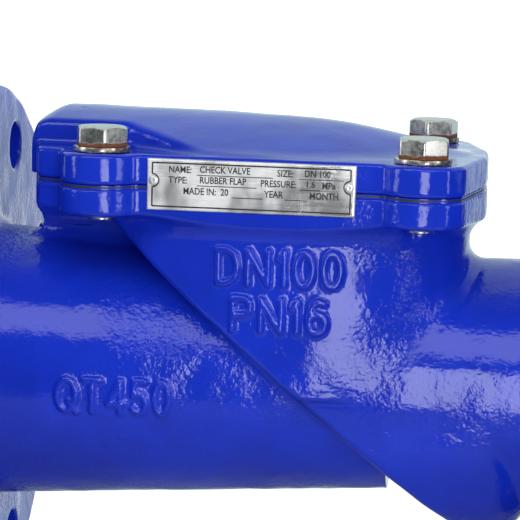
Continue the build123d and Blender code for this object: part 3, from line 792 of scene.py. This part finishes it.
# --- Materials ---
class Finish:
    """A node material under construction. Each helper adds a node and returns its output."""

    def __init__(self, name):
        self.material = bpy.data.materials.new(name)
        self.material.use_nodes = True
        self.tree = self.material.node_tree
        self.tree.nodes.clear()
        self.place = self.add("ShaderNodeTexCoord").outputs["Object"]

    def add(self, kind, settings=None, **inputs):
        node = self.tree.nodes.new(kind)
        for key, value in (settings or {}).items():
            setattr(node, key, value)
        for key, value in inputs.items():
            self.put(node.inputs[key.replace("_", " ")], value)
        return node

    def put(self, socket, value):
        if isinstance(value, bpy.types.NodeSocket):
            self.tree.links.new(value, socket)
        else:
            socket.default_value = value

    def noise(self, scale, detail=2.0, rough=0.5, stretch=(1, 1, 1), shift=(0, 0, 0)):
        moved = self.add("ShaderNodeMapping", Vector=self.place, Scale=stretch, Location=shift)
        return self.add("ShaderNodeTexNoise", Vector=moved.outputs[0], Scale=scale, Detail=detail,
                        Roughness=rough).outputs["Fac"]

    def ramp(self, value, low, high, out_low=0.0, out_high=1.0):
        node = self.add("ShaderNodeMapRange", {"interpolation_type": "SMOOTHSTEP"}, Value=value,
                        From_Min=low, From_Max=high, To_Min=out_low, To_Max=out_high)
        return node.outputs[0]

    def math(self, operation, a, b=0.0):
        node = self.add("ShaderNodeMath", {"operation": operation})
        self.put(node.inputs[0], a)
        self.put(node.inputs[1], b)
        return node.outputs[0]

    def times(self, a, b):
        return self.math("MULTIPLY", a, b)

    def plus(self, a, b):
        return self.math("ADD", a, b)

    def mix(self, share, a, b):
        """Colour a, going to b as share goes to 1."""
        node = self.add("ShaderNodeMix", {"data_type": "RGBA"})
        self.put(node.inputs[0], share)
        for socket, colour in ((node.inputs[6], a), (node.inputs[7], b)):
            self.put(socket, colour if isinstance(colour, bpy.types.NodeSocket) else (*colour, 1.0))
        return node.outputs[2]

    def bump(self, height, distance):
        return self.add("ShaderNodeBump", Height=height, Distance=distance, Strength=1.0).outputs[0]

    def axis(self, name):
        return self.add("ShaderNodeSeparateXYZ", Vector=self.place).outputs[name]

    def band(self, name, start, full, fade, end):
        """1 between two places along an axis, running out to 0 on both sides."""
        place = self.axis(name)
        return self.times(self.ramp(place, start, full), self.ramp(place, fade, end, 1.0, 0.0))

    def surface(self, colour, **inputs):
        shader = self.add("ShaderNodeBsdfPrincipled", Base_Color=colour, **inputs)
        out = self.add("ShaderNodeOutputMaterial")
        self.tree.links.new(shader.outputs[0], out.inputs["Surface"])
        return self.material


SMOOTH_ABOVE = (0.058, 0.066)  # the coat runs smooth above this height, in metres
SCRAPED_XS = (0.0600, 0.0640, 0.0730, 0.0750)  # the tip of the cover joint, where the coat was scraped
SCRAPED_ZS = (0.0655, 0.0670, 0.0885, 0.0905)


def epoxy(name, peel, pitted):
    """Thick glossy blue epoxy. Peel is its orange peel's depth in mm, and pitted 1 gives it pits, with
    painted shade in them.
    """
    f = Finish(name)
    lumps, grain = f.noise(150, 2.0), f.noise(520, 2.0, 0.6)
    ragged = f.ramp(f.noise(26, 2.0, shift=(4, 0, 1)), 0.42, 0.60)
    ragged = f.times(ragged, f.ramp(f.axis("Z"), *SMOOTH_ABOVE, 1.0, 0.2))
    cells = f.add("ShaderNodeTexVoronoi", Vector=f.place, Scale=75.0, Randomness=1.0)
    chosen = f.ramp(f.noise(38, 1.0, shift=(3, 1, 7)), 0.60, 0.64)
    pits = f.times(f.ramp(cells.outputs["Distance"], 0.05, 0.16, pitted, 0.0), chosen)
    scraped = f.times(f.band("X", *SCRAPED_XS), f.band("Z", *SCRAPED_ZS))
    streaks = f.noise(900, 2.0, 0.6, stretch=(0.8, 0.8, 0.12))
    scratch = f.times(scraped, f.ramp(streaks, 0.50, 0.66))
    height = f.times(f.plus(lumps, f.times(grain, 0.8)), f.plus(ragged, 0.4))
    height = f.math("SUBTRACT", height, f.times(pits, 1.6))
    height = f.plus(height, f.times(scratch, 0.5))
    tone = f.ramp(f.noise(22, 3.0, 0.6, shift=(1, 5, 2)), 0.3, 0.7)
    colour = f.mix(tone, (0.006, 0.026, 0.44), (0.008, 0.034, 0.56))
    # Painted shade: the pits' hollows are painted dark blue.
    colour = f.mix(f.times(pits, 0.8), colour, (0.004, 0.009, 0.16))
    colour = f.mix(f.times(scratch, 0.45), colour, (0.30, 0.36, 0.62))
    gloss = f.ramp(f.noise(60, 3.0, shift=(9, 0, 4)), 0.25, 0.75, 0.08, 0.14)
    gloss = f.plus(gloss, f.times(scratch, 0.25))
    return f.surface(colour, Roughness=gloss, IOR=1.5, Specular_IOR_Level=0.42,
                     Normal=f.bump(height, peel * MM))


def bolt_steel():
    """Dull zinc-plated steel, with rust along the lower edge of each head."""
    f = Finish("zinc_bolt_steel")
    mottle, fine = f.noise(420, 4.0, 0.65), f.noise(1500, 3.0, 0.6)
    edge_z = f.plus(f.axis("Z"), f.times(f.noise(260, 3.0), -0.0022))
    rust = f.times(f.ramp(edge_z, 0.00010, 0.00075, 1.0, 0.0), f.ramp(f.axis("Z"), -0.0006, -0.0002))
    rust = f.math("MAXIMUM", rust, f.times(f.ramp(mottle, 0.64, 0.74), 0.35))
    steel = f.mix(f.ramp(mottle, 0.30, 0.70), (0.42, 0.41, 0.39), (0.60, 0.59, 0.57))
    colour = f.mix(rust, steel, f.mix(f.ramp(fine, 0.4, 0.6), (0.10, 0.028, 0.010), (0.20, 0.070, 0.026)))
    metal = f.math("SUBTRACT", 1.0, f.times(rust, 0.9))
    rough = f.plus(f.ramp(mottle, 0.3, 0.7, 0.24, 0.36), f.times(rust, 0.4))
    height = f.plus(f.times(mottle, 0.6), f.times(fine, f.plus(0.1, rust)))
    return f.surface(colour, Metallic=metal, Roughness=rough, Normal=f.bump(height, 0.05 * MM))


def washer_steel():
    """Zinc-plated steel with brown stains and faint turning marks."""
    f = Finish("zinc_washer_steel")
    stain = f.ramp(f.noise(300, 4.0, 0.7), 0.42, 0.62)
    colour = f.mix(stain, (0.66, 0.64, 0.60), (0.16, 0.12, 0.09))
    rough = f.plus(0.22, f.times(stain, 0.3))
    turned_marks = f.noise(1800, 2.0, 0.5, stretch=(1, 1, 0.2))
    return f.surface(colour, Metallic=0.95, Roughness=rough, Normal=f.bump(turned_marks, 0.02 * MM))


def plate_metal():
    """Satin lacquered aluminium with brushing along the plate, and a painted reflection: large patches
    painted lighter and less metallic.
    """
    f = Finish("nameplate_aluminium")
    brushed = f.noise(1400, 3.0, 0.6, stretch=(0.04, 1, 1))
    dents = f.noise(110, 2.0, 0.5)
    # Painted reflection of the lights: bright marks the patches painted lighter and less metallic.
    bright = f.ramp(f.noise(48, 3.0, 0.55, stretch=(1, 1, 0.6), shift=(2, 2, 0)), 0.36, 0.62)
    colour = f.mix(bright, (0.60, 0.59, 0.60), (0.90, 0.89, 0.89))
    rough = f.plus(f.ramp(brushed, 0.3, 0.7, 0.12, 0.22), f.times(bright, 0.10))
    height = f.plus(dents, f.times(brushed, 0.04))
    return f.surface(colour, Metallic=f.ramp(bright, 0.0, 1.0, 0.75, 0.25), Roughness=rough,
                     Normal=f.bump(height, 0.20 * MM))


def print_ink():
    """Thin, slightly patchy black print."""
    f = Finish("nameplate_ink")
    patchy = f.ramp(f.noise(1200, 3.0, 0.6), 0.3, 0.7)
    return f.surface(f.mix(patchy, (0.004, 0.004, 0.005), (0.014, 0.013, 0.014)), Roughness=0.55,
                     Normal=f.bump(patchy, 0.005 * MM))


def moulded_rubber():
    """Matt black rubber, dusty in places."""
    f = Finish("moulded_rubber")
    dust, grain = f.noise(60, 4.0, 0.65), f.noise(700, 3.0, 0.6)
    colour = f.mix(f.ramp(dust, 0.45, 0.75), (0.016, 0.016, 0.018), (0.048, 0.047, 0.046))
    return f.surface(colour, Roughness=f.ramp(grain, 0.3, 0.7, 0.48, 0.66), Normal=f.bump(grain, 0.05 * MM))


def gasket_rubber():
    """Sheet rubber, painted over along both edges of its rim with the castings."""
    f = Finish("sheet_rubber")
    grain = f.noise(1100, 3.0, 0.6)
    from_middle = f.math("ABSOLUTE", f.math("SUBTRACT", f.axis("Z"), (BODY_TOP + COVER_BOTTOM) / 2 * MM))
    wander = f.times(f.math("SUBTRACT", f.noise(70, 3.0), 0.5), 0.6 * MM)
    paint = f.ramp(f.plus(from_middle, wander), 0.28 * MM, 0.42 * MM)
    black = f.mix(grain, (0.010, 0.010, 0.011), (0.030, 0.030, 0.031))
    return f.surface(f.mix(paint, black, (0.008, 0.032, 0.50)),
                     Roughness=f.ramp(paint, 0.0, 1.0, 0.55, 0.15), Normal=f.bump(grain, 0.03 * MM))


def bare_steel(name, dark, light, rough):
    """Bare grey steel with marks drawn along y."""
    f = Finish(name)
    drawn = f.noise(900, 3.0, 0.6, stretch=(1, 0.06, 1))
    return f.surface(f.mix(drawn, (dark,) * 3, (light,) * 3), Metallic=1.0, Roughness=rough,
                     Normal=f.bump(drawn, 0.02 * MM))


def woven_nylon():
    """Woven nylon ply: two crossed sets of threads."""
    f = Finish("nylon_ply")
    threads = [f.add("ShaderNodeTexWave", {"wave_type": "BANDS", "bands_direction": direction},
                     Vector=f.place, Scale=320.0, Distortion=0.4) for direction in ("X", "Y")]
    weave = f.times(*[wave.outputs["Fac"] for wave in threads])
    return f.surface(f.mix(weave, (0.36, 0.33, 0.26), (0.62, 0.58, 0.48)), Roughness=0.8,
                     Normal=f.bump(weave, 0.1 * MM))


# --- Assembly ---
def coat(obj, material):
    """Makes material the object's only one."""
    obj.data.materials.clear()
    obj.data.materials.append(material)


def dress(obj, material, body="valve", stands_for=()):
    """Gives a new piece its material and its body, and hides the CAD nodes it stands for."""
    coat(obj, material)
    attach(obj, body)
    if stands_for:
        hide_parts(*stands_for)


BODY_PEEL, COVER_PEEL = 0.32, 0.17
BODY_WAVES, COVER_WAVES = (1, 0.10, 14.0), (2, 0.06, 16.0)  # seed, height and length of the skin's waves


def castings():
    blue_body = epoxy("blue_epoxy_on_body", BODY_PEEL, 0.0)
    blue_cover = epoxy("blue_epoxy_on_cover", COVER_PEEL, 1.0)
    field, half = body_field(BODY_STEP)
    whole = field.whole(half)
    add_marks(field, whole)
    body = field.mesh("body_casting", whole)
    roughen(body, *BODY_WAVES, body_skin)
    dress(body, blue_body, stands_for=["valve_body"])
    field, half = bonnet_field(COVER_STEP)
    cover = field.mesh("bonnet_casting", field.whole(half))
    roughen(cover, *COVER_WAVES, cover_skin)
    dress(cover, blue_cover, stands_for=["bonnet"])


def fasteners():
    steel, plated = bolt_steel(), washer_steel()
    for side, y in (("front", -BOLT_Y), ("rear", BOLT_Y)):
        for end, x in BOLT_XS.items():
            node = f"{side}_{end}"
            for piece in bolt(f"bolt_{node}", x, y, math.radians(HEAD_TURNS[node])):
                dress(piece, steel, stands_for=[f"cover_bolt_{node}"])
            ring = washer(f"washer_{node}_plated", x, y)
            dress(ring, plated, stands_for=[f"washer_{node}"])


def plate():
    metal, ink = plate_metal(), print_ink()
    dress(plate_sheet(), metal, stands_for=["nameplate"])
    dress(plate_print(), ink)
    for side, offset in (("left", -RIVET_SPAN / 2), ("right", RIVET_SPAN / 2)):
        head = rivet(f"rivet_{side}", PLATE_X + offset)
        dress(head, metal, stands_for=[f"nameplate_rivet_{side}"])


def flap(moulded):
    field, half = flap_field(FLAP_STEP)
    disc = field.mesh("flap_moulding", field.whole(half))
    dress(disc, moulded, "flap", ["flap_rubber"])
    strap = tongue()
    coat(strap, moulded)
    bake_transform(strap)
    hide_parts("hinge_tongue")


def kept_shapes(moulded):
    """The pieces that keep their CAD shape get their materials."""
    for node, material in (("hinge_bead", moulded), ("bonnet_gasket", gasket_rubber()),
                           ("hinge_bead_rod", bare_steel("drawn_steel", 0.4, 0.6, 0.3)),
                           ("flap_core_plate", bare_steel("rolled_steel", 0.3, 0.5, 0.4)),
                           ("flap_fabric_ply", woven_nylon())):
        coat(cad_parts[node], material)


# --- Studio ---
FLOOR_HALF, FLOOR_FRONT, FLOOR_BACK = 8000.0, -340.0, 120.0
BACKDROP_FROM_CAMERA, BACKDROP_HALF = 2300.0, 320.0
LIGHTS = [  # name, azimuth, elevation, distance, width and height in metres, watts
    ("key_right", 13, 2, 0.62, 0.20, 0.38, 1.6),
    ("edge_right", 58, 12, 1.3, 0.36, 0.9, 3.5),
    ("fill_left", -72, 12, 1.4, 0.36, 0.9, 3.5),
    ("front_high", -8, 43, 1.3, 1.9, 0.50, 8.5),
    ("overhead", 180, 72, 1.5, 1.8, 1.4, 1.2),
]
LIT_PLACE = Vector((0, 0, 0.03))
SKY_COLOUR = (0.80, 1.0, 1.0, 1.0)
SKY_RAMP = {"From Min": 0.0, "From Max": 0.45, "To Min": 0.11, "To Max": 0.92}  # strength by direction Y


def set_piece(name, finish_name, corners, dark, light, **inputs):
    """A flat matt sheet of the studio, which isn't part of the valve."""
    sheet = mesh_object(name, corners, [(0, 1, 2, 3)])
    f = Finish(finish_name)
    colour = f.mix(f.noise(3, 2.0), (dark,) * 3, (light,) * 3)
    sheet.data.materials.append(f.surface(colour, Roughness=0.9, **inputs))


def floor():
    """A wide pale table just under the flanges, which ends a little behind and in front of them."""
    z = CAD_BOX[0].z / MM
    corners = [(x, y, z) for x, y in ((-FLOOR_HALF, FLOOR_FRONT), (FLOOR_HALF, FLOOR_FRONT),
                                      (FLOOR_HALF, FLOOR_BACK), (-FLOOR_HALF, FLOOR_BACK))]
    set_piece("studio_floor", "pale_floor", corners, 0.50, 0.54)


def backdrop():
    """A white card some way behind the valve, which faces the camera."""
    _, _, ahead = camera_directions()
    upward = Vector((0, 0, 1))
    across = ahead.cross(upward).normalized()
    centre = Vector(CAMERA_PLACE) + BACKDROP_FROM_CAMERA * ahead
    corners = [centre + BACKDROP_HALF * (i * across + j * upward)
               for i, j in ((-1, -1), (1, -1), (1, 1), (-1, 1))]
    set_piece("studio_backdrop", "white_card", corners, 0.90, 0.93,
              Emission_Color=(1, 1, 1, 1), Emission_Strength=1.0)


def softbox(name, azimuth, elevation, distance, width, height, watts):
    """An area light that faces the valve. Azimuth 0 is in front, and 90 is over the outlet."""
    a, e = math.radians(azimuth), math.radians(elevation)
    back = Vector((math.sin(a) * math.cos(e), -math.cos(a) * math.cos(e), math.sin(e)))
    data = bpy.data.lights.new(name, "AREA")
    data.shape, data.size, data.size_y, data.energy = "RECTANGLE", width, height, watts
    lamp = new_object(name, data)
    lamp.location = LIT_PLACE + back * distance
    lamp.rotation_euler = back.to_track_quat("Z", "Y").to_euler()


def sky():
    """A dim room in front of the valve that gets bright behind it."""
    world = bpy.data.worlds.new("studio")
    world.use_nodes = True
    tree = world.node_tree
    direction = tree.nodes.new("ShaderNodeTexCoord").outputs["Generated"]
    split = tree.nodes.new("ShaderNodeSeparateXYZ")
    ramp = tree.nodes.new("ShaderNodeMapRange")
    tree.links.new(direction, split.inputs[0])
    tree.links.new(split.outputs["Y"], ramp.inputs["Value"])
    for key, value in SKY_RAMP.items():
        ramp.inputs[key].default_value = value
    tree.links.new(ramp.outputs[0], tree.nodes["Background"].inputs["Strength"])
    tree.nodes["Background"].inputs["Color"].default_value = SKY_COLOUR
    bpy.context.scene.world = world


def studio():
    floor()
    backdrop()
    for light in LIGHTS:
        softbox(*light)
    sky()
    bpy.context.scene.view_settings.view_transform = "Standard"


def camera_directions():
    """The camera's right, up and ahead, from its three angles in radians."""
    yaw, pitch, roll = CAMERA_ANGLES
    right, down = Vector((math.cos(yaw), math.sin(yaw), 0)), Vector((0, 0, -1))
    level = Vector((-math.sin(yaw), math.cos(yaw), 0))
    ahead = level * math.cos(pitch) + down * math.sin(pitch)
    lower = down * math.cos(pitch) - level * math.sin(pitch)
    rolled_right = right * math.cos(roll) + lower * math.sin(roll)
    up = right * math.sin(roll) - lower * math.cos(roll)
    return rolled_right, up, ahead


def camera():
    right, up, ahead = camera_directions()
    data = bpy.data.cameras.new("camera")
    data.lens, data.sensor_width = CAMERA_LENS, CAMERA_SENSOR
    obj = new_object("camera", data)
    turn = Matrix((right, up, -ahead)).transposed()
    obj.matrix_world = Matrix.Translation(Vector(CAMERA_PLACE) * MM) @ turn.to_4x4()
    bpy.context.scene.camera = obj


castings()
fasteners()
plate()
rubber = moulded_rubber()
flap(rubber)
kept_shapes(rubber)
studio()
camera()
